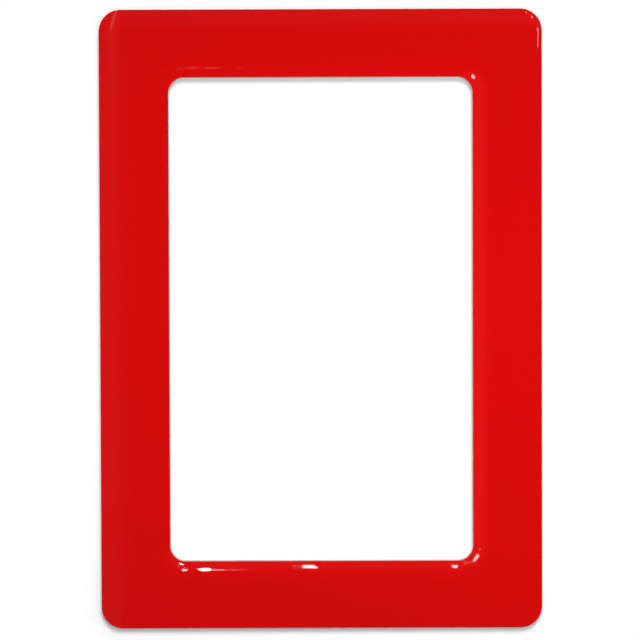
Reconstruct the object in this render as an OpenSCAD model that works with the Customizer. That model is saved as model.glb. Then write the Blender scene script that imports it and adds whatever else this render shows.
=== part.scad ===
// Magnetic photo frame: a flat ring of magnet sheet with a red label under a clear resin dome.
// It stands upright with its face towards -Y. The magnetic back lies on the plane y = 0, and the
// origin is the centre of that back face, in the middle of the picture window.
// Every layer is drawn flat, as it lies on the bench, and is then stood up by upright().

/* [Cut outline] */
// Width of the frame across its cut edges
frame_w = 130; // [110:1:200]
// Height of the frame across its cut edges
frame_h = 182; // [160:1:260]
// Radius of the four outer corners
frame_corner_r = 6.5; // [2:0.5:25]

/* [Picture window] */
// Width of the window, less than the print so that the ring holds the print's edges
window_w = 89; // [50:0.5:100]
// Height of the window
window_h = 142; // [80:0.5:150]
// Radius of the four window corners
window_corner_r = 4.5; // [1:0.5:20]

/* [Magnet sheet and its white face] */
// Thickness of the flexible magnet sheet
magnet_t = 0.85; // [0.4:0.05:2]
// Thickness of the adhesive between the magnet sheet and its white film
sheet_glue_t = 0.05; // [0.02:0.01:0.2]
// Thickness of the white film
white_film_t = 0.15; // [0.05:0.01:0.4]

/* [Red label] */
// Thickness of the label's adhesive
label_glue_t = 0.03; // [0.02:0.01:0.1]
// Thickness of the red label
label_t = 0.08; // [0.05:0.01:0.3]
// How far the label's edge stays back from the cut edge, so that the resin stops short of it
label_margin = 0.1; // [0.05:0.05:1.5]

/* [Resin dome] */
// Height of the poured resin over the middle of each band
dome_h = 1.3; // [0.6:0.1:2.5]
// Capillary length of the resin: the greater it is, the more slowly the edge rolls up to the flat
capillary = 1.8; // [1:0.1:3]
// Distance from the label's edge at which the resin has become flat
meniscus_w = 6; // [3:0.5:8]

/* [Hidden] */

// Facets of a full circle, and straight steps up the resin's rolled edge
$fn = 96;
meniscus_steps = 10;
// How far a cutter stands out past the solid that it cuts
overcut = 1;

// Where each layer starts, measured forwards from the magnetic back face
sheet_glue_at = magnet_t;
white_film_at = sheet_glue_at + sheet_glue_t;
label_glue_at = white_film_at + white_film_t;
label_at = label_glue_at + label_glue_t;
dome_at = label_at + label_t;

// The label's outline follows the cut outline at the margin, inside the frame and outside the window
label_w = frame_w - 2 * label_margin;
label_h = frame_h - 2 * label_margin;
label_corner_r = frame_corner_r - label_margin;
label_window_w = window_w + 2 * label_margin;
label_window_h = window_h + 2 * label_margin;
label_window_corner_r = window_corner_r + label_margin;

// Poured resin meets its edge at an angle and flattens exponentially over the capillary length.
// Equal steps in height turn the surface by nearly equal angles. share runs from 0 at the edge to 1.
function run_in(share) = -capillary * ln(1 - share * (1 - exp(-meniscus_w / capillary)));
rolled_edge = [for (i = [0:meniscus_steps])
    let (share = i / meniscus_steps) [run_in(share), dome_h * share]];

// Stands a layer up: its plan becomes X and Z, and its thickness grows towards the face, to -Y
module upright() {
    rotate([90, 0, 0]) children();
}

// Copies a first-quadrant shape into the four corners, with its centre at each corner's centre
module at_corners(w, h, r) {
    for (corner = [[1, 1, 0], [-1, 1, 90], [-1, -1, 180], [1, -1, 270]])
        translate([corner[0] * (w / 2 - r), corner[1] * (h / 2 - r), 0])
            rotate(corner[2]) children();
}

// Rectangle with rounded corners, centred on the origin
module rounded_outline(w, h, r) {
    square([w - 2 * r, h], center = true);
    square([w, h - 2 * r], center = true);
    at_corners(w, h, r) intersection() {
        circle(r);
        square(r);
    }
}

// Ring to the frame's cut outline and window
module cut_ring() {
    difference() {
        rounded_outline(frame_w, frame_h, frame_corner_r);
        rounded_outline(window_w, window_h, window_corner_r);
    }
}

// Ring to the label's outline and window
module label_ring() {
    difference() {
        rounded_outline(label_w, label_h, label_corner_r);
        rounded_outline(label_window_w, label_window_h, label_window_corner_r);
    }
}

// One flat layer of the stack
module layer(start, thickness) {
    upright() translate([0, 0, start]) linear_extrude(thickness) children();
}

// Section through resin that rolls up from its edge at the left and lies flat all the way across
module rolled_side(span) {
    polygon(concat(
        [for (step = rolled_edge) [step[0] - span / 2, step[1]]],
        [[span / 2 + meniscus_w, dome_h], [span / 2 + meniscus_w, 0]]));
}

// Section through resin over a whole span, which rolls up from both of its ends
module crowned_section(span) {
    intersection() {
        rolled_side(span);
        mirror([1, 0]) rolled_side(span);
    }
}

// Section through the air over a window of this span and over the resin that rolls up beside it
module flared_section(span) {
    polygon(concat(
        [[-span / 2, -overcut], [span / 2, -overcut]],
        [for (step = rolled_edge) [span / 2 + step[0], step[1]]],
        [[span / 2 + meniscus_w, dome_h + overcut], [-span / 2 - meniscus_w, dome_h + overcut]],
        [for (i = [meniscus_steps:-1:0]) [-span / 2 - rolled_edge[i][0], rolled_edge[i][1]]]));
}

// A section across the width, swept up and down the frame
module sweep_height(length) {
    rotate([90, 0, 0]) linear_extrude(length, center = true) children();
}

// A section across the height, swept from side to side
module sweep_width(length) {
    rotate([90, 0, 90]) linear_extrude(length, center = true) children();
}

// Resin over the whole label as if it had no window: the two sweeps meet in the corners, where a
// quarter turn of the same section takes the square corner's place
module crowned_slab() {
    difference() {
        intersection() {
            sweep_height(label_h) crowned_section(label_w);
            sweep_width(label_w) crowned_section(label_h);
        }
        at_corners(label_w, label_h, label_corner_r) translate([0, 0, -overcut])
            cube([label_corner_r + overcut, label_corner_r + overcut, dome_h + 2 * overcut]);
    }
    at_corners(label_w, label_h, label_corner_r)
        rotate_extrude(angle = 90) intersection() {
            crowned_section(2 * label_corner_r);
            square([label_corner_r, dome_h]);
        }
}

// Everything that the resin leaves open at the window, with the same section turned round its corners
module window_flare() {
    sweep_height(label_window_h - 2 * label_window_corner_r) flared_section(label_window_w);
    sweep_width(label_window_w - 2 * label_window_corner_r) flared_section(label_window_h);
    at_corners(label_window_w, label_window_h, label_window_corner_r)
        rotate_extrude(angle = 90) intersection() {
            flared_section(2 * label_window_corner_r);
            translate([0, -overcut])
                square([label_window_corner_r + meniscus_w, dome_h + 2 * overcut]);
        }
}

// Flexible ferrite and rubber sheet that holds the frame to steel
module magnet_sheet() {
    color([0.16, 0.13, 0.12]) layer(0, magnet_t) cut_ring();
}

// Clear adhesive coat under the white film
module sheet_glue() {
    color([0.86, 0.85, 0.80]) layer(sheet_glue_at, sheet_glue_t) cut_ring();
}

// White vinyl face of the magnet sheet, cut together with it
module white_film() {
    color([0.96, 0.96, 0.95]) layer(white_film_at, white_film_t) cut_ring();
}

// Clear adhesive coat under the red label
module label_glue() {
    color([0.88, 0.86, 0.80]) layer(label_glue_at, label_glue_t) label_ring();
}

// Self-coloured red vinyl label
module red_label() {
    color([0.83, 0.06, 0.05]) layer(label_at, label_t) label_ring();
}

// Clear resin poured on the label, held at the label's edges by its own surface tension
module resin_dome() {
    color([0.93, 0.20, 0.17, 0.45]) upright() translate([0, 0, dome_at]) difference() {
        crowned_slab();
        window_flare();
    }
}

magnet_sheet();
sheet_glue();
white_film();
label_glue();
red_label();
resin_dome();
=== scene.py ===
"""Magnetic photo frame: magnet sheet, white film and red label under poured resin, on a white wall.

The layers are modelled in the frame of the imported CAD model, in metres: the magnetic back lies on
the plane y = 0, the face looks to -Y, and Z runs up the long side.
"""

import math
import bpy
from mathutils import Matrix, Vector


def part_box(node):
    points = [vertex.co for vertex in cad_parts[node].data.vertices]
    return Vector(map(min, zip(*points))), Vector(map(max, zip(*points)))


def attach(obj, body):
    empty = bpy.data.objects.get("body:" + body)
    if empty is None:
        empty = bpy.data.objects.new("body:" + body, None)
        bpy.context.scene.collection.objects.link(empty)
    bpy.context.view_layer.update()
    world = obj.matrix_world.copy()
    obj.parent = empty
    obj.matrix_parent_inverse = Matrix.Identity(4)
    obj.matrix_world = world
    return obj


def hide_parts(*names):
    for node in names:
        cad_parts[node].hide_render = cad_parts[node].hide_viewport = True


bl_info = {
    "name": "Magnetic Photo Frame",
    "version": (1, 0, 0),
    "blender": (4, 5, 0),
    "location": "3D View > Sidebar > Photo Frame",
    "description": "Builds the layers of a magnetic photo frame and the studio it is seen in",
    "category": "Add Mesh",
}

import bmesh
import bpy
from mathutils import Matrix, Quaternion, Vector

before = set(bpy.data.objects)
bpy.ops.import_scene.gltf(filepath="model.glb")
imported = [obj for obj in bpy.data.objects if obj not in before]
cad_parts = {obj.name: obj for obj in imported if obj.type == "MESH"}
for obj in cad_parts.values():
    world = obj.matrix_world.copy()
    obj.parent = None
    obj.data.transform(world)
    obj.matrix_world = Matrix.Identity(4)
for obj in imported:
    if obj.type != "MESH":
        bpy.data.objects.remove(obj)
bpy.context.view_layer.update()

MM = 0.001
CUT_LOW, CUT_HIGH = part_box("magnet_sheet")
LABEL_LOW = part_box("red_label")[0]
RESIN_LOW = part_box("resin_dome")[0]

# Arc steps of a rounded corner, and cuts along a straight side
CORNER_STEPS = 36
SIDE_CUTS = 60
# Longer than any step of an arc and any cut piece of a side, and shorter than a side
UNCUT_SIDE = 30 * MM
# Steps up the resin's rolled edge, and round the edge of a cut layer
ROLL_STEPS = 26
ROUND_STEPS = 4
# How far the knife rounds over the face side of each cut layer
MAGNET_ROUND = 0.05 * MM
FILM_ROUND = 0.04 * MM
LABEL_ROUND = 0.01 * MM
# Points closer than this are one point, and depths that differ by less are the same depth
WELD_DISTANCE = 0.001 * MM
DEPTH_SLACK = 0.0005 * MM
# Edges of a cut layer that turn by more than this are its rims
RIM_TURN = math.radians(60)
# Faces that turn by less than this are shaded as one surface
CUT_SMOOTH = math.radians(10)
RESIN_SMOOTH = math.radians(35)
# Size of the slow waves in the resin
WAVE_SIZE = 28 * MM
# Width of the magnet sheet's worn edge
WEAR_WIDTH = 0.9 * MM
# How far the outlines round the window are held back while they are bridged, because outlines
# that lie in one plane round one centre can be bridged crosswise
HOLD_BACK = 20 * MM
# How far the resin reaches into the label that it is bonded to, and stays back from its edge
BOND_DEPTH = 0.02 * MM
BOND_INSET = 0.01 * MM
# Distances from the window over which the light painted into the label's colour, for what the
# resin's edge gathers, dies out
RIM_FROM = 1.5 * MM
RIM_TO = 6.5 * MM
# Values between which most of a noise pattern lies
NOISE_RANGE = (0.3, 0.7)


def depth_of(node, face):
    """How far a layer's back or front face lies in front of the magnetic back."""
    low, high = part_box(node)
    return -high.y if face == "back" else -low.y


class FrameSizes(bpy.types.PropertyGroup):
    """Sizes of the cut outline, the window and the resin."""

    cut_width: bpy.props.FloatProperty(
        name="Cut width",
        description="Width of the frame across its cut edges",
        default=CUT_HIGH.x - CUT_LOW.x,
        min=0.1,
        subtype="DISTANCE",
        unit="LENGTH",
    )
    cut_height: bpy.props.FloatProperty(
        name="Cut height",
        description="Height of the frame across its cut edges",
        default=CUT_HIGH.z - CUT_LOW.z,
        min=0.15,
        subtype="DISTANCE",
        unit="LENGTH",
    )
    cut_corner: bpy.props.FloatProperty(
        name="Outer corner radius",
        description="Radius of the four outer corners",
        default=6.5 * MM,
        min=1 * MM,
        subtype="DISTANCE",
        unit="LENGTH",
    )
    window_width: bpy.props.FloatProperty(
        name="Window width",
        description="Width of the picture window",
        default=89 * MM,
        min=50 * MM,
        subtype="DISTANCE",
        unit="LENGTH",
    )
    window_height: bpy.props.FloatProperty(
        name="Window height",
        description="Height of the picture window",
        default=142 * MM,
        min=80 * MM,
        subtype="DISTANCE",
        unit="LENGTH",
    )
    window_corner: bpy.props.FloatProperty(
        name="Window corner radius",
        description="Radius of the four window corners",
        default=4.5 * MM,
        min=1 * MM,
        subtype="DISTANCE",
        unit="LENGTH",
    )
    label_margin: bpy.props.FloatProperty(
        name="Label margin",
        description="How far the label's edge stays back from the cut edge",
        default=LABEL_LOW.x - CUT_LOW.x,
        min=0.02 * MM,
        subtype="DISTANCE",
        unit="LENGTH",
    )
    capillary_length: bpy.props.FloatProperty(
        name="Capillary length",
        description="The greater it is, the more slowly the resin rolls up from its edge",
        default=1.8 * MM,
        min=1 * MM,
        max=3 * MM,
        subtype="DISTANCE",
        unit="LENGTH",
    )
    roll_width: bpy.props.FloatProperty(
        name="Rolled width",
        description="Distance from its edge at which the resin has become flat",
        default=6 * MM,
        min=3 * MM,
        max=6.3 * MM,
        subtype="DISTANCE",
        unit="LENGTH",
    )
    resin_waves: bpy.props.FloatProperty(
        name="Resin waves",
        description="How far the slow waves of the cured resin dip below its full height",
        default=0.03 * MM,
        min=0,
        subtype="DISTANCE",
        unit="LENGTH",
    )


class FrameFinish(bpy.types.PropertyGroup):
    """Colours and finishes of the layers."""

    label_red: bpy.props.FloatVectorProperty(
        name="Label red",
        description="Colour of the vinyl label under the resin",
        default=(0.767, 0.0035, 0.003),
        min=0,
        max=1,
        subtype="COLOR",
    )
    # Painted light: how much the label's colour is lightened beside the window, for the light that
    # the resin's edge gathers
    painted_rim_light: bpy.props.FloatProperty(
        name="Rim glow",
        description="How much lighter the label is where the resin's edge gathers light on it",
        default=0.09,
        min=0,
        max=1,
        subtype="FACTOR",
    )
    magnet_brown: bpy.props.FloatVectorProperty(
        name="Magnet brown",
        description="Colour of the ferrite rubber",
        default=(0.045, 0.036, 0.033),
        min=0,
        max=1,
        subtype="COLOR",
    )
    film_white: bpy.props.FloatVectorProperty(
        name="Film white",
        description="Colour of the vinyl face of the magnet sheet",
        default=(0.86, 0.86, 0.84),
        min=0,
        max=1,
        subtype="COLOR",
    )
    adhesive_tint: bpy.props.FloatVectorProperty(
        name="Adhesive tint",
        description="Colour of the adhesive coats where their edges show",
        default=(0.72, 0.66, 0.50),
        min=0,
        max=1,
        subtype="COLOR",
    )
    resin_gloss: bpy.props.FloatProperty(
        name="Resin roughness",
        description="Roughness of the cured resin's skin",
        default=0.03,
        min=0,
        max=1,
        subtype="FACTOR",
    )


class StudioLight(bpy.types.PropertyGroup):
    """Levels of the studio's lamps, as the share of white that they give on a surface facing -Y."""

    key_level: bpy.props.FloatProperty(
        name="Key light",
        description="Share of the light that comes from the softbox above",
        default=0.49,
        min=0,
        subtype="FACTOR",
    )
    right_level: bpy.props.FloatProperty(
        name="Right light",
        description="Share of the light that comes from the near lamp at the right",
        default=0.315,
        min=0,
        subtype="FACTOR",
    )
    left_level: bpy.props.FloatProperty(
        name="Left light",
        description="Share of the light that comes from the near lamp at the left",
        default=0.255,
        min=0,
        subtype="FACTOR",
    )
    ambient_level: bpy.props.FloatProperty(
        name="Ambient light",
        description="Share of the light that comes from the room",
        default=0.05,
        min=0,
        subtype="FACTOR",
    )


def deselect_all():
    """Leaves object mode with nothing selected."""
    if bpy.context.mode != "OBJECT":
        bpy.ops.object.mode_set(mode="OBJECT")
    bpy.ops.object.select_all(action="DESELECT")


def start_piece(name):
    """Opens an empty mesh object at the origin in edit mode."""
    deselect_all()
    bpy.ops.object.add(type="MESH", enter_editmode=True, location=(0, 0, 0))
    piece = bpy.context.object
    piece.name = name
    piece.data.name = name
    bpy.ops.mesh.select_mode(type="VERT")
    return piece


def finish_piece(piece, node, material, smooth):
    """Closes a piece, turns its faces outwards, hangs it on the root body and hides the CAD node
    that it stands for.
    """
    bpy.ops.mesh.select_all(action="SELECT")
    bpy.ops.mesh.remove_doubles(threshold=WELD_DISTANCE)
    bpy.ops.mesh.normals_make_consistent(inside=False)
    bpy.ops.object.mode_set(mode="OBJECT")
    bpy.ops.object.shade_smooth_by_angle(angle=smooth)
    piece.data.materials.append(material)
    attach(piece, "root")
    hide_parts(node)
    if any(edge_count != 2 for edge_count in faces_per_edge(piece)):
        raise RuntimeError(f"{piece.name} isn't closed")


def faces_per_edge(piece):
    """How many faces meet at each edge of a piece."""
    mesh = bmesh.new()
    mesh.from_mesh(piece.data)
    counts = [len(edge.link_faces) for edge in mesh.edges]
    mesh.free()
    return counts


def select_where(test, mode="EDGE"):
    """Selects the points, or the edges between points, of the mesh in hand that pass the test."""
    bpy.ops.mesh.select_mode(type=mode)
    bpy.ops.mesh.select_all(action="DESELECT")
    data = bpy.context.edit_object.data
    mesh = bmesh.from_edit_mesh(data)
    passed = {vert for vert in mesh.verts if test(vert.co)}
    if mode == "VERT":
        for vert in passed:
            vert.select_set(True)
    else:
        for edge in mesh.edges:
            edge.select_set(passed.issuperset(edge.verts))
    bmesh.update_edit_mesh(data)


def rounded_outline(width, height, corner, depth):
    """Adds a closed outline of edges with arcs at its corners, as far in front as depth says."""
    bpy.ops.mesh.select_mode(type="VERT")
    bpy.ops.mesh.primitive_plane_add(
        size=1, location=(0, -depth, 0), rotation=(math.pi / 2, 0, 0)
    )
    bpy.ops.transform.resize(value=(width, 1, height), center_override=(0, -depth, 0))
    bpy.ops.mesh.bevel(offset=corner, segments=CORNER_STEPS, affect="VERTICES")
    bpy.ops.mesh.delete(type="ONLY_FACE")
    data = bpy.context.edit_object.data
    mesh = bmesh.from_edit_mesh(data)
    bpy.ops.mesh.select_mode(type="EDGE")
    for edge in mesh.edges:
        edge.select_set(not edge.link_faces and edge.calc_length() > UNCUT_SIDE)
    bmesh.update_edit_mesh(data)
    bpy.ops.mesh.subdivide(number_cuts=SIDE_CUTS)


def both_outlines(sizes, stays, depth):
    """Adds the outer outline and, held back, the window's, both this far inside the ring's edges."""
    rounded_outline(
        sizes.cut_width - 2 * stays,
        sizes.cut_height - 2 * stays,
        sizes.cut_corner - stays,
        depth,
    )
    rounded_outline(
        sizes.window_width + 2 * stays,
        sizes.window_height + 2 * stays,
        sizes.window_corner + stays,
        depth - HOLD_BACK,
    )


def near(co, depth):
    """True if a point lies as far in front as depth says."""
    return abs(-co.y - depth) < DEPTH_SLACK


def bridge(first, second):
    """Joins two outlines, which are told by how far in front they lie."""
    select_where(lambda co: near(co, first) or near(co, second))
    bpy.ops.mesh.bridge_edge_loops()


def release_window():
    """Brings the outlines round the window forwards to where they belong."""
    select_where(lambda co: -co.y < -HOLD_BACK / 2, "VERT")
    bpy.ops.transform.translate(value=(0, -HOLD_BACK, 0))


def cut_layer(node, sizes, margin, round_over, material):
    """Models one cut layer where its CAD node lies, rounded over where the knife came in."""
    piece = start_piece(f"{node}_cut")
    start = depth_of(node, "back")
    thickness = depth_of(node, "front") - start
    both_outlines(sizes, margin, start)
    bridge(start, start - HOLD_BACK)
    release_window()
    bpy.ops.mesh.select_mode(type="FACE")
    bpy.ops.mesh.select_all(action="SELECT")
    bpy.ops.mesh.extrude_region_move(
        TRANSFORM_OT_translate={"value": (0, -thickness, 0)}
    )
    bpy.ops.mesh.select_all(action="SELECT")
    bpy.ops.mesh.normals_make_consistent(inside=False)
    select_rims(start + thickness)
    bpy.ops.mesh.bevel(offset=round_over, segments=ROUND_STEPS, affect="EDGES")
    finish_piece(piece, node, material, CUT_SMOOTH)


def select_rims(depth):
    """Selects the sharp edges of the mesh in hand that lie as far in front as depth says."""
    bpy.ops.mesh.select_mode(type="EDGE")
    bpy.ops.mesh.select_all(action="DESELECT")
    data = bpy.context.edit_object.data
    mesh = bmesh.from_edit_mesh(data)
    for edge in mesh.edges:
        level = all(near(vert.co, depth) for vert in edge.verts)
        edge.select_set(level and edge.calc_face_angle(0) > RIM_TURN)
    bmesh.update_edit_mesh(data)


def roll_share(sizes):
    """Share of its endless rise that the resin has reached where it is taken as flat."""
    return 1 - math.exp(-sizes.roll_width / sizes.capillary_length)


def run_in(share, sizes):
    """Distance from the resin's edge at which it has risen by this share of its height."""
    return -sizes.capillary_length * math.log(1 - share * roll_share(sizes))


def resin_height():
    """Height of the resin over the label."""
    return LABEL_LOW.y - RESIN_LOW.y


def resin_ring(sizes):
    """Models the resin: outlines that step up both rolled edges, bridged one after another."""
    piece = start_piece("poured_resin")
    label_front = depth_of("red_label", "front")
    margin = sizes.label_margin + BOND_INSET
    rolls = [(0, label_front - BOND_DEPTH)]
    rolls += [
        (run_in(i / ROLL_STEPS, sizes), label_front + resin_height() * i / ROLL_STEPS)
        for i in range(ROLL_STEPS + 1)
    ]
    for inset, depth in rolls:
        both_outlines(sizes, margin + inset, depth)
    for (_, low), (_, high) in zip(rolls, rolls[1:]):
        bridge(low, high)
        bridge(low - HOLD_BACK, high - HOLD_BACK)
    for _, depth in (rolls[0], rolls[-1]):
        bridge(depth, depth - HOLD_BACK)
    release_window()
    return piece


def add_waves(piece, sizes):
    """Gives the resin the slow waves of a hand-poured skin, which die out at its edges."""
    label_front = depth_of("red_label", "front")
    group = piece.vertex_groups.new(name="crown")
    for vert in piece.data.vertices:
        rise = (-vert.co.y - label_front) / resin_height()
        group.add([vert.index], max(0.0, rise) ** 0.5, "REPLACE")
    waves = bpy.data.textures.new("resin_waves", "CLOUDS")
    waves.noise_scale = WAVE_SIZE
    waves.noise_depth = 1
    deselect_all()
    piece.select_set(True)
    bpy.context.view_layer.objects.active = piece
    bpy.ops.object.modifier_add(type="DISPLACE")
    displace = piece.modifiers[-1]
    displace.texture = waves
    displace.texture_coords = "LOCAL"
    displace.direction = "Y"
    displace.mid_level = 0
    displace.strength = sizes.resin_waves
    displace.vertex_group = group.name
    bpy.ops.object.modifier_apply(modifier=displace.name)
    piece.vertex_groups.clear()


def new_group(name, inputs, outputs):
    """Starts a shader node group with named inputs and outputs."""
    tree = bpy.data.node_groups.new(name, "ShaderNodeTree")
    for label, kind, default in inputs:
        socket = tree.interface.new_socket(
            name=label, in_out="INPUT", socket_type=kind
        )
        if default is not None:
            socket.default_value = default
    for label, kind in outputs:
        tree.interface.new_socket(name=label, in_out="OUTPUT", socket_type=kind)
    return tree, tree.nodes.new("NodeGroupInput"), tree.nodes.new("NodeGroupOutput")


def wire(tree, value, socket):
    """Links an output to a socket, or sets the socket to a plain value."""
    if isinstance(value, bpy.types.NodeSocket):
        tree.links.new(value, socket)
    else:
        socket.default_value = value


def maths(tree, operation, *values):
    """Adds a Math node and returns its result."""
    node = tree.nodes.new("ShaderNodeMath")
    node.operation = operation
    for value, socket in zip(values, node.inputs):
        wire(tree, value, socket)
    return node.outputs[0]


def ramp(tree, value, low, high, to_low=0.0, to_high=1.0):
    """Adds a smooth Map Range node and returns its result."""
    node = tree.nodes.new("ShaderNodeMapRange")
    node.interpolation_type = "SMOOTHSTEP"
    for item, socket in zip((value, low, high, to_low, to_high), node.inputs):
        wire(tree, item, socket)
    return node.outputs["Result"]


def blend(tree, factor, first, second):
    """Adds a colour Mix node and returns its colour."""
    node = tree.nodes.new("ShaderNodeMix")
    node.data_type = "RGBA"
    wire(tree, factor, node.inputs["Factor"])
    wire(tree, first, node.inputs["A"])
    wire(tree, second, node.inputs["B"])
    return node.outputs["Result"]


def noise(tree, position, size, detail, roughness=0.5):
    """Adds a Noise Texture node with swells of this size, and returns its value."""
    node = tree.nodes.new("ShaderNodeTexNoise")
    wire(tree, position, node.inputs["Vector"])
    node.inputs["Scale"].default_value = 1 / size
    node.inputs["Detail"].default_value = detail
    node.inputs["Roughness"].default_value = roughness
    return node.outputs["Fac"]


def stretched(tree, position, scale):
    """Adds a Mapping node that scales a pattern, and returns its vector."""
    node = tree.nodes.new("ShaderNodeMapping")
    wire(tree, position, node.inputs["Vector"])
    node.inputs["Scale"].default_value = scale
    return node.outputs["Vector"]


def rgba(colour, gain):
    """A plain colour as four numbers, made lighter or darker by gain."""
    return tuple(min(1.0, channel * gain) for channel in colour) + (1.0,)


def outline_distance_group():
    """Distance of a point from a rounded rectangle in the frame's plane, negative inside it."""
    tree, given, result = new_group(
        "Outline distance",
        (
            ("Position", "NodeSocketVector", None),
            ("Width", "NodeSocketFloat", 0.1),
            ("Height", "NodeSocketFloat", 0.1),
            ("Corner", "NodeSocketFloat", 0.005),
        ),
        (("Distance", "NodeSocketFloat"),),
    )
    split = tree.nodes.new("ShaderNodeSeparateXYZ")
    tree.links.new(given.outputs["Position"], split.inputs[0])
    past = []
    for axis, size in (("X", "Width"), ("Z", "Height")):
        half = maths(tree, "MULTIPLY", given.outputs[size], 0.5)
        straight = maths(tree, "SUBTRACT", half, given.outputs["Corner"])
        along = maths(tree, "ABSOLUTE", split.outputs[axis])
        past.append(maths(tree, "SUBTRACT", along, straight))
    squares = [
        maths(tree, "POWER", maths(tree, "MAXIMUM", value, 0.0), 2.0) for value in past
    ]
    to_arc = maths(tree, "SQRT", maths(tree, "ADD", *squares))
    inside = maths(tree, "MINIMUM", maths(tree, "MAXIMUM", *past), 0.0)
    reach = maths(tree, "ADD", to_arc, inside)
    tree.links.new(
        maths(tree, "SUBTRACT", reach, given.outputs["Corner"]),
        result.inputs["Distance"],
    )
    return tree


def mottle_group():
    """Soft patches and fine grain, as vinyl, rubber and glue have, round a value of one."""
    tree, given, result = new_group(
        "Mottle",
        (
            ("Position", "NodeSocketVector", None),
            ("Patch size", "NodeSocketFloat", 0.02),
            ("Patches", "NodeSocketFloat", 0.03),
            ("Grain size", "NodeSocketFloat", 0.0004),
            ("Grain", "NodeSocketFloat", 0.02),
        ),
        (("Level", "NodeSocketFloat"),),
    )
    total = 1.0
    for size, amount, detail in (("Patch size", "Patches", 2), ("Grain size", "Grain", 1)):
        texture = tree.nodes.new("ShaderNodeTexNoise")
        tree.links.new(given.outputs["Position"], texture.inputs["Vector"])
        tree.links.new(
            maths(tree, "DIVIDE", 1.0, given.outputs[size]), texture.inputs["Scale"]
        )
        texture.inputs["Detail"].default_value = detail
        swing = maths(tree, "SUBTRACT", texture.outputs["Fac"], 0.5)
        swing = maths(tree, "MULTIPLY", swing, 2.0)
        total = maths(
            tree, "MULTIPLY_ADD", swing, given.outputs[amount], total
        )
    tree.links.new(total, result.inputs["Level"])
    return tree


def specks_group():
    """A mask of small separate specks, such as ferrite grains or dust caught in glue."""
    tree, given, result = new_group(
        "Specks",
        (
            ("Position", "NodeSocketVector", None),
            ("Spacing", "NodeSocketFloat", 0.002),
            ("Size", "NodeSocketFloat", 0.15),
        ),
        (("Mask", "NodeSocketFloat"),),
    )
    cells = tree.nodes.new("ShaderNodeTexVoronoi")
    tree.links.new(given.outputs["Position"], cells.inputs["Vector"])
    tree.links.new(
        maths(tree, "DIVIDE", 1.0, given.outputs["Spacing"]), cells.inputs["Scale"]
    )
    edge = maths(tree, "MULTIPLY", given.outputs["Size"], 0.5)
    tree.links.new(
        ramp(tree, cells.outputs["Distance"], edge, given.outputs["Size"], 1.0, 0.0),
        result.inputs["Mask"],
    )
    return tree


def place_group(tree, name, build, **values):
    """Places a group in a material with its own values, and returns its output. The group is
    built where it is first asked for."""
    node = tree.nodes.new("ShaderNodeGroup")
    node.node_tree = bpy.data.node_groups.get(name) or build()
    for label, value in values.items():
        wire(tree, value, node.inputs[label.replace("_", " ").capitalize()])
    return node.outputs[0]


def start_material(name):
    """Starts a material, and returns it with its tree, its main shader and its Object position."""
    material = bpy.data.materials.new(name)
    material.use_nodes = True
    tree = material.node_tree
    shader = tree.nodes["Principled BSDF"]
    position = tree.nodes.new("ShaderNodeTexCoord").outputs["Object"]
    return material, tree, shader, position


def add_bump(tree, shader, height, distance, strength=1.0):
    """Feeds a height pattern to the shader's normal."""
    bump = tree.nodes.new("ShaderNodeBump")
    bump.inputs["Distance"].default_value = distance
    bump.inputs["Strength"].default_value = strength
    tree.links.new(height, bump.inputs["Height"])
    tree.links.new(bump.outputs["Normal"], shader.inputs["Normal"])


def shade_of(tree, level, colour):
    """A plain colour times a level that changes over the surface."""
    node = tree.nodes.new("ShaderNodeVectorMath")
    node.operation = "SCALE"
    node.inputs[0].default_value = tuple(colour)
    wire(tree, level, node.inputs["Scale"])
    return node.outputs["Vector"]


def mottle(tree, position, **values):
    """Level of a material with soft patches and fine grain, one on average."""
    return place_group(tree, "Mottle", mottle_group, position=position, **values)


def speckled(tree, position, base, colour, strength, **values):
    """A colour with specks of another colour in it."""
    mask = place_group(tree, "Specks", specks_group, position=position, **values)
    return blend(tree, maths(tree, "MULTIPLY", mask, strength), base, colour)


def outline_distance(tree, position, width, height, corner):
    """Signed distance of a point from a rounded rectangle round the middle of the frame."""
    return place_group(
        tree,
        "Outline distance",
        outline_distance_group,
        position=position,
        width=width,
        height=height,
        corner=corner,
    )


def window_distance(tree, position, sizes):
    """Distance of a point from the window's outline."""
    return outline_distance(
        tree, position, sizes.window_width, sizes.window_height, sizes.window_corner
    )


def cut_distance(tree, position, sizes):
    """Distance of a point from the frame's cut outline, negative on the frame and in its window."""
    return outline_distance(
        tree, position, sizes.cut_width, sizes.cut_height, sizes.cut_corner
    )


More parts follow.
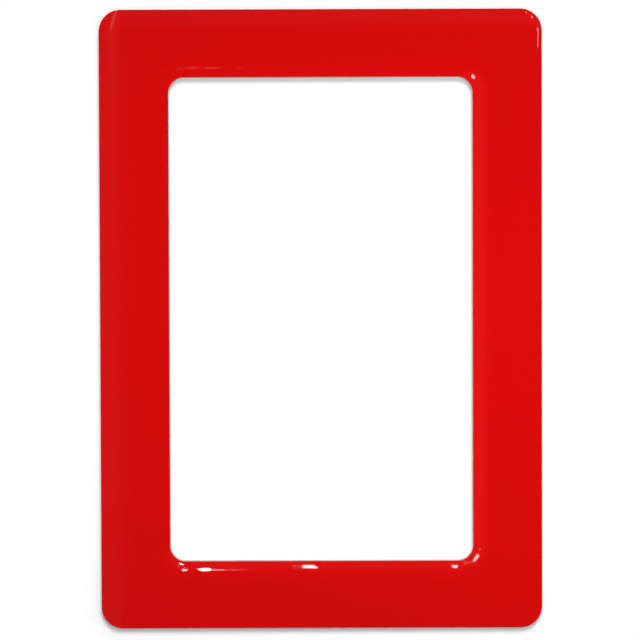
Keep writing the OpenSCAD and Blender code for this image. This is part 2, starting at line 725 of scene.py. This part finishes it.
def label_material(sizes, finish):
    """Self-coloured red vinyl under the resin, with light painted into its colour that makes it a
    little lighter beside the window, where the resin's rolled edge gathers light on it."""
    material, tree, shader, position = start_material("red_vinyl")
    level = mottle(
        tree, position, patch_size=35 * MM, patches=0.02, grain_size=0.35 * MM, grain=0.012
    )
    # Painted light: the label's colour is made lighter near the window, for the light that the
    # resin's rolled edge gathers
    window = window_distance(tree, position, sizes)
    beside = ramp(tree, window, RIM_FROM, RIM_TO, 1.0, 0.0)
    split = tree.nodes.new("ShaderNodeSeparateXYZ")
    tree.links.new(position, split.inputs[0])
    across, _, up = split.outputs
    half_width, half_height = sizes.window_width / 2, sizes.window_height / 2
    # The painted light is full at the right of the window and below it, and half as strong above it
    right = ramp(tree, across, half_width - RIM_TO, half_width)
    below = ramp(tree, up, -half_height, RIM_TO - half_height, 1.0, 0.0)
    above = ramp(tree, up, half_height - RIM_TO, half_height, 0.0, 0.5)
    lit = maths(tree, "MAXIMUM", maths(tree, "MAXIMUM", right, below), above)
    lit = maths(tree, "MULTIPLY", beside, lit)
    level = maths(tree, "MULTIPLY_ADD", lit, finish.painted_rim_light, level)
    tree.links.new(
        shade_of(tree, level, finish.label_red), shader.inputs["Base Color"]
    )
    shader.inputs["Roughness"].default_value = 0.5
    shader.inputs["Specular IOR Level"].default_value = 0.0
    grain = noise(tree, position, 0.25 * MM, 2)
    add_bump(tree, shader, grain, 0.004 * MM, 0.4)
    return material


def resin_material(finish):
    """Clear cast resin, which lets the lamps through to the label."""
    material, tree, shader, position = start_material("clear_resin")
    shader.inputs["Base Color"].default_value = (1.0, 1.0, 1.0, 1.0)
    shader.inputs["Transmission Weight"].default_value = 1.0
    shader.inputs["IOR"].default_value = 1.49
    smears = noise(tree, position, 12 * MM, 3)
    clean, smeared = finish.resin_gloss * 0.8, finish.resin_gloss * 1.3
    tree.links.new(
        ramp(tree, smears, 0.3, 0.75, clean, smeared), shader.inputs["Roughness"]
    )
    peel = noise(tree, position, 2.5 * MM, 1)
    add_bump(tree, shader, peel, 0.002 * MM)
    clear = tree.nodes.new("ShaderNodeBsdfTransparent").outputs[0]
    path = tree.nodes.new("ShaderNodeLightPath")
    surface = shader.outputs[0]
    for ray in ("Is Diffuse Ray", "Is Shadow Ray"):
        mix = tree.nodes.new("ShaderNodeMixShader")
        tree.links.new(path.outputs[ray], mix.inputs[0])
        tree.links.new(surface, mix.inputs[1])
        tree.links.new(clear, mix.inputs[2])
        surface = mix.outputs[0]
    tree.links.new(surface, tree.nodes["Material Output"].inputs["Surface"])
    return material


def magnet_material(sizes, finish):
    """Calendered ferrite rubber: matte brown-black, speckled, paler where it was cut."""
    material, tree, shader, position = start_material("magnet_rubber")
    level = mottle(
        tree, position, patch_size=9 * MM, patches=0.1, grain_size=0.25 * MM, grain=0.25
    )
    rubber = shade_of(tree, level, finish.magnet_brown)
    paler = rgba(finish.magnet_brown, 3.2)
    rubber = speckled(tree, position, rubber, paler, 0.5, spacing=1.1 * MM, size=0.16)
    outer = cut_distance(tree, position, sizes)
    window = window_distance(tree, position, sizes)
    to_edge = maths(tree, "MINIMUM", maths(tree, "MULTIPLY", outer, -1.0), window)
    worn = ramp(tree, to_edge, 0.0, WEAR_WIDTH, 1.0, 0.0)
    scuffs = noise(tree, position, 1.6 * MM, 4, 0.7)
    wear = maths(tree, "MULTIPLY", worn, ramp(tree, scuffs, 0.42, 0.62, 0.15, 0.75))
    rubber = blend(tree, wear, rubber, rgba(finish.magnet_brown, 2.4))
    tree.links.new(rubber, shader.inputs["Base Color"])
    rubbed = noise(tree, stretched(tree, position, (1.0, 1.0, 0.25)), 2 * MM, 3)
    tree.links.new(
        ramp(tree, rubbed, *NOISE_RANGE, 0.55, 0.65), shader.inputs["Roughness"]
    )
    texture = noise(tree, position, 0.3 * MM, 3, 0.6)
    add_bump(tree, shader, texture, 0.02 * MM, 0.6)
    return material


def film_material(finish):
    """Satin white vinyl film, with a faint haze of dust."""
    material, tree, shader, position = start_material("white_vinyl")
    level = mottle(
        tree, position, patch_size=6 * MM, patches=0.03, grain_size=0.2 * MM, grain=0.03
    )
    film = shade_of(tree, level, finish.film_white)
    dust = (0.35, 0.33, 0.3, 1)
    film = speckled(tree, position, film, dust, 0.35, spacing=1.7 * MM, size=0.1)
    tree.links.new(film, shader.inputs["Base Color"])
    satin = noise(tree, position, 3 * MM, 2)
    tree.links.new(
        ramp(tree, satin, *NOISE_RANGE, 0.32, 0.45), shader.inputs["Roughness"]
    )
    return material


def adhesive_material(finish):
    """Clear adhesive, yellowed and dusty where its edge is open to the air."""
    material, tree, shader, position = start_material("adhesive")
    level = mottle(
        tree, position, patch_size=4 * MM, patches=0.08, grain_size=0.3 * MM, grain=0.06
    )
    glue = shade_of(tree, level, finish.adhesive_tint)
    dust = (0.2, 0.18, 0.15, 1)
    glue = speckled(tree, position, glue, dust, 0.6, spacing=0.8 * MM, size=0.22)
    tree.links.new(glue, shader.inputs["Base Color"])
    tack = noise(tree, position, 1.5 * MM, 2)
    tree.links.new(
        ramp(tree, tack, *NOISE_RANGE, 0.25, 0.4), shader.inputs["Roughness"]
    )
    return material


class FRAME_OT_magnet_sheet(bpy.types.Operator):
    """Model the flexible magnet sheet, cut clean and rounded at its face side"""

    bl_idname = "photo_frame.magnet_sheet"
    bl_label = "Magnet Sheet"

    def execute(self, context):
        sizes, finish = context.scene.frame_sizes, context.scene.frame_finish
        cut_layer(
            "magnet_sheet",
            sizes,
            margin=0,
            round_over=MAGNET_ROUND,
            material=magnet_material(sizes, finish),
        )
        return {"FINISHED"}


class FRAME_OT_white_film(bpy.types.Operator):
    """Model the white vinyl face of the magnet sheet"""

    bl_idname = "photo_frame.white_film"
    bl_label = "White Film"

    def execute(self, context):
        sizes, finish = context.scene.frame_sizes, context.scene.frame_finish
        cut_layer(
            "white_film",
            sizes,
            margin=0,
            round_over=FILM_ROUND,
            material=film_material(finish),
        )
        return {"FINISHED"}


class FRAME_OT_red_label(bpy.types.Operator):
    """Model the red vinyl label"""

    bl_idname = "photo_frame.red_label"
    bl_label = "Red Label"

    def execute(self, context):
        sizes, finish = context.scene.frame_sizes, context.scene.frame_finish
        cut_layer(
            "red_label",
            sizes,
            margin=sizes.label_margin,
            round_over=LABEL_ROUND,
            material=label_material(sizes, finish),
        )
        return {"FINISHED"}


class FRAME_OT_adhesive_coats(bpy.types.Operator):
    """Give the two adhesive coats their finish"""

    bl_idname = "photo_frame.adhesive_coats"
    bl_label = "Adhesive Coats"

    def execute(self, context):
        material = adhesive_material(context.scene.frame_finish)
        for node in ("sheet_glue", "label_glue"):
            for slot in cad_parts[node].material_slots:
                slot.material = material
        return {"FINISHED"}


class FRAME_OT_resin_dome(bpy.types.Operator):
    """Model the clear resin with its rolled edges and slow waves"""

    bl_idname = "photo_frame.resin_dome"
    bl_label = "Resin Dome"

    def execute(self, context):
        sizes, finish = context.scene.frame_sizes, context.scene.frame_finish
        piece = resin_ring(sizes)
        finish_piece(
            piece,
            "resin_dome",
            material=resin_material(finish),
            smooth=RESIN_SMOOTH,
        )
        add_waves(piece, sizes)
        return {"FINISHED"}


# The studio: a white wall that the frame lies against, with a floor far below it
WALL_GAP = 0.2 * MM
# How far the wall and the floor reach, how far below the frame they meet, and their curved join
WALL_REACH = 2.4
FLOOR_DROP = 0.6
FLOOR_CURVE = 0.2
FLOOR_CURVE_STEPS = 12
WALL_WHITE = 0.96
# Light that the wall adds where it is seen, so that its open parts are white
WALL_LIFT = 0.20
# Distances from the frame's outline at which the wall starts to be plain white, and is so all over
PLAIN_FROM = 1.5 * MM
PLAIN_AT = 6 * MM

# The room that the resin mirrors: its level of white all over, and what is added to it in the pale
# zones at the left and above, in an upright strip at the left, and round the plane of the wall
ROOM_LEVEL = 0.024
PALE_LEVEL = 0.075
STRIP_LEVEL = 0.8
ROUND_LEVEL = 0.97
# How far a direction leads left, up or ahead where each of them starts and is full, or, for the
# end of the strip, where it starts to fade and is gone
PALE_LEFT = (0.07, 0.18)
PALE_ABOVE = (0.12, 0.3)
STRIP_START = (0.2, 0.24)
STRIP_END = (0.28, 0.36)
STRIP_UPWARDS = (0.06, 0.25)
ROUND_WALL = (-0.25, 0.0)

# Places of the soft lamps from the middle of the frame, and their sizes
KEY_PLACE = (0.25, -1.55, 1.85)
KEY_SIZE = 1.0
RIGHT_PLACE = (0.12, -0.15, -0.01)
LEFT_PLACE = (-0.08, -0.16, 0.0)
NEAR_SIZE = 0.2
REAR_PLACE = (-0.9, 1.6, 1.5)
REAR_SIZE = 1.2
REAR_LEVEL = 0.7

# The camera, as the photograph's edges place it
CAMERA_PLACE = (0.001, -0.70, 0.0175)
CAMERA_AIM = (-0.0003, 0.0, -0.00018)
CAMERA_ROLL = math.radians(-0.18)
CAMERA_LENS = 133.85

# Catch lights, chosen for the spots in the photograph: the place of each spot on the resin, its
# length along the outline, its height across it, and how far round it its lamp's light reaches,
# all in millimetres, and the lamp's radiance
CATCH_LIGHTS = (
    (-41.3, -71.9, 1.4, 0.8, 25, 112),
    (-39.68, -73.47, 1.0, 0.95, 35, 47),
    (-34.5, -73.4, 3.5, 1.15, 44, 32),
    (-31.4, -73.55, 5.9, 0.55, 35, 7),
    (-26.4, -73.6, 8.0, 0.35, 35, 1.4),
    (-3.95, -72.62, 3.5, 1.4, 50, 32),
    (-2.6, -72.95, 3.1, 0.6, 40, 18),
    (39.4, -72.67, 1.1, 1.1, 62, 32),
    (39.6, -72.75, 0.7, 0.6, 40, 22),
    (45.4, -70.2, 2.9, 1.1, 40, 22),
    (46.55, -67.6, 1.6, 0.8, 14, 2.4),
    (44.7, 70.9, 1.7, 1.2, 40, 17),
    (-37.2, 73.75, 3.0, 0.6, 35, 0.7),
    (-31.7, 73.75, 4.7, 0.6, 35, 0.8),
    (-23.2, 73.75, 1.8, 0.6, 35, 0.7),
    (63.7, 84.75, 1.35, 0.55, 60, 6.5),
    (61.9, 88.4, 0.9, 0.65, 35, 8),
    (60.3, 89.6, 0.9, 0.65, 35, 4),
)
CATCH_DISTANCE = 250 * MM


def stage_material(name):
    """Starts a material for the stage, with only its output left in it."""
    material = bpy.data.materials.new(name)
    material.use_nodes = True
    tree = material.node_tree
    tree.nodes.remove(tree.nodes["Principled BSDF"])
    return material, tree, tree.nodes["Material Output"].inputs["Surface"]


def seen_directly(tree):
    """One for camera, glossy and transmission rays, and zero for all others."""
    path = tree.nodes.new("ShaderNodeLightPath")
    rays = [path.outputs[f"Is {ray} Ray"] for ray in ("Camera", "Glossy", "Transmission")]
    return maths(tree, "MAXIMUM", maths(tree, "MAXIMUM", rays[0], rays[1]), rays[2])


def wall_material(sizes):
    """White paper that keeps the frame's shadow near it, and is not seen from behind."""
    material, tree, surface = stage_material("white_wall")
    paper = tree.nodes.new("ShaderNodeBsdfDiffuse")
    paper.inputs["Color"].default_value = (WALL_WHITE, WALL_WHITE, WALL_WHITE, 1)
    direct = seen_directly(tree)
    lift = tree.nodes.new("ShaderNodeEmission")
    tree.links.new(
        maths(tree, "MULTIPLY", direct, WALL_LIFT), lift.inputs["Strength"]
    )
    near_frame = tree.nodes.new("ShaderNodeAddShader")
    tree.links.new(paper.outputs[0], near_frame.inputs[0])
    tree.links.new(lift.outputs[0], near_frame.inputs[1])
    plain = tree.nodes.new("ShaderNodeEmission")
    tree.links.new(direct, plain.inputs["Strength"])
    position = tree.nodes.new("ShaderNodeTexCoord").outputs["Object"]
    outside = cut_distance(tree, position, sizes)
    fade = tree.nodes.new("ShaderNodeMixShader")
    tree.links.new(ramp(tree, outside, PLAIN_FROM, PLAIN_AT), fade.inputs[0])
    tree.links.new(near_frame.outputs[0], fade.inputs[1])
    tree.links.new(plain.outputs[0], fade.inputs[2])
    one_sided = tree.nodes.new("ShaderNodeMixShader")
    behind = tree.nodes.new("ShaderNodeNewGeometry").outputs["Backfacing"]
    tree.links.new(behind, one_sided.inputs[0])
    tree.links.new(fade.outputs[0], one_sided.inputs[1])
    clear = tree.nodes.new("ShaderNodeBsdfTransparent")
    tree.links.new(clear.outputs[0], one_sided.inputs[2])
    tree.links.new(one_sided.outputs[0], surface)
    return material


def add_wall(sizes):
    """Adds the wall and bends its foot forwards into a floor."""
    deselect_all()
    bpy.ops.mesh.primitive_plane_add(
        size=2 * WALL_REACH, location=(0, WALL_GAP, 0), rotation=(math.pi / 2, 0, 0)
    )
    wall = bpy.context.object
    wall.name = "wall_and_floor"
    bpy.ops.object.transform_apply(location=True, rotation=True, scale=True)
    bpy.ops.object.mode_set(mode="EDIT")
    select_where(lambda co: co.z < 0)
    bpy.ops.transform.translate(value=(0, 0, WALL_REACH - FLOOR_DROP))
    bpy.ops.mesh.extrude_edges_move(
        TRANSFORM_OT_translate={"value": (0, -2 * WALL_REACH, 0)}
    )
    select_where(lambda co: abs(co.y - WALL_GAP) < MM and co.z < 0)
    bpy.ops.mesh.bevel(offset=FLOOR_CURVE, segments=FLOOR_CURVE_STEPS, affect="EDGES")
    bpy.ops.object.mode_set(mode="OBJECT")
    bpy.ops.object.shade_smooth()
    wall.data.materials.append(wall_material(sizes))
    wall.visible_diffuse = False
    wall.visible_glossy = False
    wall.visible_shadow = False


def set_world(ambient):
    """A plain room: white for the camera, dim and partly pale in mirrors, even for the rest."""
    world = bpy.context.scene.world or bpy.data.worlds.new("studio")
    bpy.context.scene.world = world
    world.use_nodes = True
    tree = world.node_tree
    tree.nodes.clear()
    split = tree.nodes.new("ShaderNodeSeparateXYZ")
    direction = tree.nodes.new("ShaderNodeTexCoord").outputs["Generated"]
    tree.links.new(direction, split.inputs[0])
    across, ahead, up = split.outputs
    leftwards = maths(tree, "MULTIPLY", across, -1.0)
    left = ramp(tree, leftwards, *PALE_LEFT, 0.0, PALE_LEVEL)
    above = ramp(tree, up, *PALE_ABOVE, 0.0, PALE_LEVEL)
    room = maths(tree, "ADD", maths(tree, "MAXIMUM", left, above), ROOM_LEVEL)
    start = ramp(tree, leftwards, *STRIP_START)
    end = ramp(tree, leftwards, *STRIP_END, 1.0, 0.0)
    strip = maths(tree, "MULTIPLY", start, end)
    strip_level = ramp(tree, up, *STRIP_UPWARDS, 0.0, STRIP_LEVEL)
    room = maths(tree, "MULTIPLY_ADD", strip, strip_level, room)
    beside_wall = ramp(tree, ahead, *ROUND_WALL)
    room = maths(tree, "MULTIPLY_ADD", beside_wall, ROUND_LEVEL, room)
    path = tree.nodes.new("ShaderNodeLightPath")
    mirrored = maths(
        tree,
        "MAXIMUM",
        path.outputs["Is Glossy Ray"],
        path.outputs["Is Transmission Ray"],
    )
    camera = path.outputs["Is Camera Ray"]
    level = maths(tree, "MULTIPLY", mirrored, maths(tree, "MINIMUM", room, 1.0))
    others = maths(tree, "SUBTRACT", 1.0, maths(tree, "MAXIMUM", mirrored, camera))
    level = maths(tree, "MULTIPLY_ADD", others, ambient, level)
    level = maths(tree, "ADD", level, camera)
    background = tree.nodes.new("ShaderNodeBackground")
    background.inputs["Color"].default_value = (1.0, 1.0, 1.0, 1.0)
    tree.links.new(level, background.inputs["Strength"])
    output = tree.nodes.new("ShaderNodeOutputWorld")
    tree.links.new(background.outputs[0], output.inputs["Surface"])


def add_lamp(name, place, aim, size, power):
    """Adds a square or rectangular area lamp that points at aim."""
    deselect_all()
    place, aim = Vector(place), Vector(aim)
    turn = (aim - place).to_track_quat("-Z", "Y").to_euler()
    bpy.ops.object.light_add(type="AREA", location=place, rotation=turn)
    lamp = bpy.context.object
    lamp.name = name
    width, height = size
    lamp.data.shape = "RECTANGLE"
    lamp.data.size = width
    lamp.data.size_y = height
    lamp.data.energy = power
    lamp.visible_camera = False
    return lamp


def soft_lamp(name, place, size, level):
    """Adds a soft lamp that lights a white surface at the middle of the frame to a given level."""
    place = Vector(place)
    slant = abs(place.y) / place.length
    power = level * math.pi * math.pi * place.length_squared / slant
    lamp = add_lamp(name, place, (0, 0, 0), (size, size), power)
    lamp.visible_glossy = False
    lamp.visible_transmission = False
    return lamp


def nearest_outline(x, z, width, height, corner):
    """Signed distance of a point from a rounded rectangle, and the way that leads outwards."""
    past = Vector((abs(x) - width / 2 + corner, abs(z) - height / 2 + corner))
    held = Vector((max(past.x, 0), max(past.y, 0)))
    if held.length > 0:
        distance, way = held.length - corner, held.normalized()
    elif past.x > past.y:
        distance, way = past.x - corner, Vector((1, 0))
    else:
        distance, way = past.y - corner, Vector((0, 1))
    return distance, Vector((math.copysign(way.x, x), math.copysign(way.y, z)))


def resin_point(x, z, sizes):
    """The point of the resin's rolled edge over x and z, its normal, and the way down."""
    margin = sizes.label_margin
    outer, out_way = nearest_outline(
        x,
        z,
        sizes.cut_width - 2 * margin,
        sizes.cut_height - 2 * margin,
        sizes.cut_corner - margin,
    )
    window, in_way = nearest_outline(
        x,
        z,
        sizes.window_width + 2 * margin,
        sizes.window_height + 2 * margin,
        sizes.window_corner + margin,
    )
    if -outer < window:
        inset, downhill = -outer, out_way
    else:
        inset, downhill = window, -in_way
    full = roll_share(sizes)
    fall = math.exp(-inset / sizes.capillary_length)
    rise = resin_height() * (1 - fall) / full
    slope = resin_height() * fall / full / sizes.capillary_length
    point = Vector((x, LABEL_LOW.y - rise, z))
    normal = Vector((downhill.x * slope, -1, downhill.y * slope)).normalized()
    return point, normal, downhill


def mirrored_view(spot, sizes):
    """The point of the resin at a spot, the way that the camera's view leaves it, and downhill."""
    point, normal, downhill = resin_point(*spot, sizes)
    view = (point - Vector(CAMERA_PLACE)).normalized()
    return point, view - 2 * view.dot(normal) * normal, downhill


def lamp_span(spot, reach, place, ahead, sizes):
    """How long a lamp is whose mirror image ends this far from its spot on both sides."""
    ends = []
    for end in (spot - reach, spot + reach):
        point, way, _ = mirrored_view(end, sizes)
        ends.append(point + way * ((place - point).dot(ahead) / way.dot(ahead)))
    return (ends[1] - ends[0]).length


def add_catch_light(number, catch_light, sizes):
    """Adds a small lamp that only the resin mirrors, so that the camera sees it at its spot."""
    x, z, length, height, lit, radiance = catch_light
    spot = Vector((x, z)) * MM
    point, way, downhill = mirrored_view(spot, sizes)
    place, ahead = point + way * CATCH_DISTANCE, -way
    along = Vector((downhill.y, -downhill.x))
    width = lamp_span(spot, along * length / 2 * MM, place, ahead, sizes)
    height = lamp_span(spot, downhill * height / 2 * MM, place, ahead, sizes)
    half_angle = math.atan(lit * MM / CATCH_DISTANCE)
    # Of two lamps of the same radiance, the narrow one gives this share of the wide one's power
    share = 1 - half_angle / math.tan(half_angle)
    area = math.pi / 4 * width * height
    power = radiance * math.pi * share * area
    lamp = add_lamp(f"catch_light_{number}", place, point, (width, height), power)
    side = Vector((along.x, 0, along.y))
    side = (side - side.dot(ahead) * ahead).normalized()
    lamp.rotation_euler = Matrix((side, side.cross(ahead), -ahead)).transposed().to_euler()
    lamp.data.shape = "ELLIPSE"
    lamp.data.spread = 2 * half_angle
    lamp.visible_diffuse = False
    lamp.visible_transmission = False


def add_camera():
    """Adds the camera where the photograph's edges place it."""
    deselect_all()
    place, aim = Vector(CAMERA_PLACE), Vector(CAMERA_AIM)
    bpy.ops.object.camera_add(location=place)
    camera = bpy.context.object
    camera.name = "studio_camera"
    camera.rotation_mode = "QUATERNION"
    turn = (aim - place).to_track_quat("-Z", "Y")
    camera.rotation_quaternion = turn @ Quaternion((0, 0, 1), CAMERA_ROLL)
    camera.data.lens = CAMERA_LENS
    camera.data.sensor_width = 36
    camera.data.clip_start = 0.01
    camera.data.clip_end = 20
    bpy.context.scene.camera = camera


class FRAME_OT_studio(bpy.types.Operator):
    """Set up the wall, the room, the lamps and the camera"""

    bl_idname = "photo_frame.studio"
    bl_label = "Studio"

    def execute(self, context):
        light, sizes = context.scene.studio_light, context.scene.frame_sizes
        add_camera()
        add_wall(sizes)
        set_world(light.ambient_level)
        soft_lamp("key_light", KEY_PLACE, KEY_SIZE, light.key_level)
        soft_lamp("right_light", RIGHT_PLACE, NEAR_SIZE, light.right_level)
        soft_lamp("left_light", LEFT_PLACE, NEAR_SIZE, light.left_level)
        soft_lamp("rear_light", REAR_PLACE, REAR_SIZE, REAR_LEVEL)
        for number, catch_light in enumerate(CATCH_LIGHTS):
            add_catch_light(number, catch_light, sizes)
        context.scene.view_settings.view_transform = "Standard"
        return {"FINISHED"}


OPERATORS = (
    FRAME_OT_magnet_sheet,
    FRAME_OT_white_film,
    FRAME_OT_red_label,
    FRAME_OT_adhesive_coats,
    FRAME_OT_resin_dome,
    FRAME_OT_studio,
)


class VIEW3D_PT_photo_frame(bpy.types.Panel):
    """Lists the sizes, the finishes and the steps that build the frame"""

    bl_label = "Magnetic Photo Frame"
    bl_idname = "VIEW3D_PT_photo_frame"
    bl_space_type = "VIEW_3D"
    bl_region_type = "UI"
    bl_category = "Photo Frame"

    def draw(self, context):
        scene = context.scene
        for group in (scene.frame_sizes, scene.frame_finish, scene.studio_light):
            box = self.layout.box()
            for name in group.__annotations__:
                box.prop(group, name)
        column = self.layout.column(align=True)
        for operator in OPERATORS:
            column.operator(operator.bl_idname)


GROUPS = (FrameSizes, FrameFinish, StudioLight)


def register():
    """Registers the classes and hangs the property groups on the scene."""
    for cls in (*GROUPS, *OPERATORS, VIEW3D_PT_photo_frame):
        bpy.utils.register_class(cls)
    bpy.types.Scene.frame_sizes = bpy.props.PointerProperty(type=FrameSizes)
    bpy.types.Scene.frame_finish = bpy.props.PointerProperty(type=FrameFinish)
    bpy.types.Scene.studio_light = bpy.props.PointerProperty(type=StudioLight)


def unregister():
    """Takes the property groups off the scene and unregisters the classes."""
    del bpy.types.Scene.studio_light
    del bpy.types.Scene.frame_finish
    del bpy.types.Scene.frame_sizes
    for cls in reversed((*GROUPS, *OPERATORS, VIEW3D_PT_photo_frame)):
        bpy.utils.unregister_class(cls)


def main():
    """Builds the frame and the studio."""
    register()
    bpy.ops.photo_frame.magnet_sheet()
    bpy.ops.photo_frame.white_film()
    bpy.ops.photo_frame.red_label()
    bpy.ops.photo_frame.adhesive_coats()
    bpy.ops.photo_frame.resin_dome()
    bpy.ops.photo_frame.studio()


if __name__ == "__main__":
    main()
